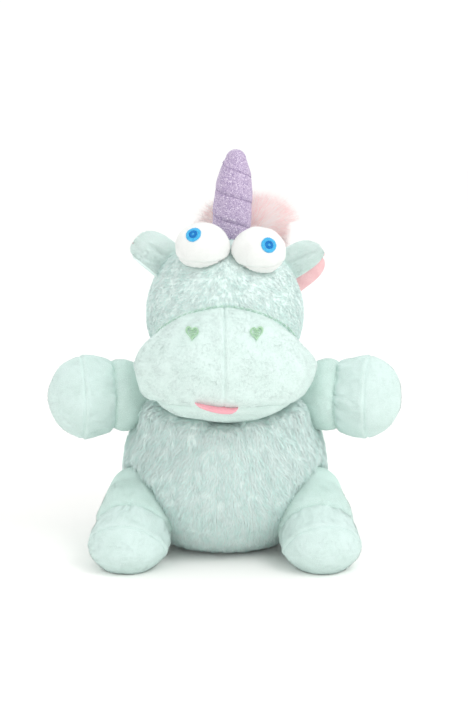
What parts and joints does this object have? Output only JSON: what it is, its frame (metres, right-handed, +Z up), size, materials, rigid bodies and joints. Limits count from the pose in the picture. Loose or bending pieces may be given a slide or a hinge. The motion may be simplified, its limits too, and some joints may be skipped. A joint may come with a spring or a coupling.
{
  "type": "plush unicorn",
  "caption": "Sitting stuffed unicorn with a round belly, wide snout, bulging eyes, soft horn, fluffy tuft and stubby sewn limbs.",
  "frame": {"origin": "centre of the round seat panel's flat underside, at floor level", "axes": "+Z up to the horn, -Y out of the face, +X towards the toy's own left arm"},
  "size_m": [0.2442, 0.2136, 0.2716],
  "materials": {
    "body_fur": "matte",
    "short_pile": "matte",
    "white_pile": "matte",
    "filling": "matte",
    "pink_pile": "matte",
    "pink_lining": "matte",
    "tongue_satin": "satin",
    "glitter_fabric": "satin",
    "lilac_thread": "satin",
    "green_thread": "satin",
    "iris_thread": "satin",
    "pupil_thread": "satin"
  },
  "bodies": {
    "torso": {"belly_panel": "body_fur", "back_panel_left": "body_fur", "back_panel_right": "body_fur", "seat_panel": "body_fur", "body_filling": "filling", "seat_bead_bag": "filling"},
    "head": {"forehead_panel": "body_fur", "head_back_left": "body_fur", "head_back_right": "body_fur", "head_base_panel": "body_fur", "snout_panel_left": "body_fur", "snout_panel_right": "body_fur", "chin_panel": "body_fur", "head_filling": "filling", "snout_seam_stitching": "green_thread", "nostril_heart_left": "green_thread", "nostril_heart_right": "green_thread", "tongue": "tongue_satin", "eye_dome_left": "white_pile", "eye_base_left": "white_pile", "eye_filling_left": "filling", "iris_left": "iris_thread", "pupil_left": "pupil_thread", "eye_dome_right": "white_pile", "eye_base_right": "white_pile", "eye_filling_right": "filling", "iris_right": "iris_thread", "pupil_right": "pupil_thread", "mane_tuft": "pink_pile"},
    "horn": {"horn_cover": "glitter_fabric", "horn_filling": "filling", "horn_spiral_stitching": "lilac_thread"},
    "left_ear": {"ear_outer_left": "short_pile", "ear_lining_left": "pink_lining"},
    "right_ear": {"ear_outer_right": "short_pile", "ear_lining_right": "pink_lining"},
    "left_arm": {"arm_sleeve_left": "short_pile", "arm_band_left": "short_pile", "hoof_cap_left": "short_pile", "arm_filling_left": "filling"},
    "right_arm": {"arm_sleeve_right": "short_pile", "arm_band_right": "short_pile", "hoof_cap_right": "short_pile", "arm_filling_right": "filling"},
    "left_leg": {"leg_sleeve_left": "short_pile", "ankle_band_left": "short_pile", "sole_left": "short_pile", "leg_filling_left": "filling"},
    "right_leg": {"leg_sleeve_right": "short_pile", "ankle_band_right": "short_pile", "sole_right": "short_pile", "leg_filling_right": "filling"},
    "tail": {"tail_tuft": "pink_pile"}
  },
  "joints": [
    {"name": "head_nod", "type": "hinge", "parent": "torso", "child": "head", "pos_m": [0, 0, 0.16], "axis": [1, 0, 0], "range_deg": [-15, 0], "stiffness_Nm_per_rad": 0.25},
    {"name": "horn_tip", "type": "hinge", "parent": "head", "child": "horn", "pos_m": [0.004, 0.003, 0.21477], "axis": [0, 1, 0], "range_deg": [-10, 10], "stiffness_Nm_per_rad": 0.03},
    {"name": "left_ear_fold", "type": "hinge", "parent": "head", "child": "left_ear", "pos_m": [0.0471, 0, 0.19298], "axis": [0.5736, 0, -0.8192], "range_deg": [-20, 20], "stiffness_Nm_per_rad": 0.003},
    {"name": "right_ear_fold", "type": "hinge", "parent": "head", "child": "right_ear", "pos_m": [-0.0471, 0, 0.19298], "axis": [0.5736, 0, 0.8192], "range_deg": [-20, 20], "stiffness_Nm_per_rad": 0.003},
    {"name": "left_arm_swing", "type": "hinge", "parent": "torso", "child": "left_arm", "pos_m": [0.051, 0, 0.10338], "axis": [0, -1, 0], "range_deg": [-20, 25], "stiffness_Nm_per_rad": 0.15},
    {"name": "right_arm_swing", "type": "hinge", "parent": "torso", "child": "right_arm", "pos_m": [-0.051, 0, 0.10338], "axis": [0, 1, 0], "range_deg": [-20, 25], "stiffness_Nm_per_rad": 0.15},
    {"name": "left_leg_splay", "type": "hinge", "parent": "torso", "child": "left_leg", "pos_m": [0.058, -0.025, 0.03517], "axis": [0, 0, 1], "range_deg": [0, 30], "stiffness_Nm_per_rad": 0.12},
    {"name": "right_leg_splay", "type": "hinge", "parent": "torso", "child": "right_leg", "pos_m": [-0.058, -0.025, 0.03517], "axis": [0, 0, -1], "range_deg": [0, 30], "stiffness_Nm_per_rad": 0.12},
    {"name": "tail_swing", "type": "hinge", "parent": "torso", "child": "tail", "pos_m": [0, 0.07821, 0.04], "axis": [1, 0, 0], "range_deg": [-10, 30], "stiffness_Nm_per_rad": 0.01}
  ]
}
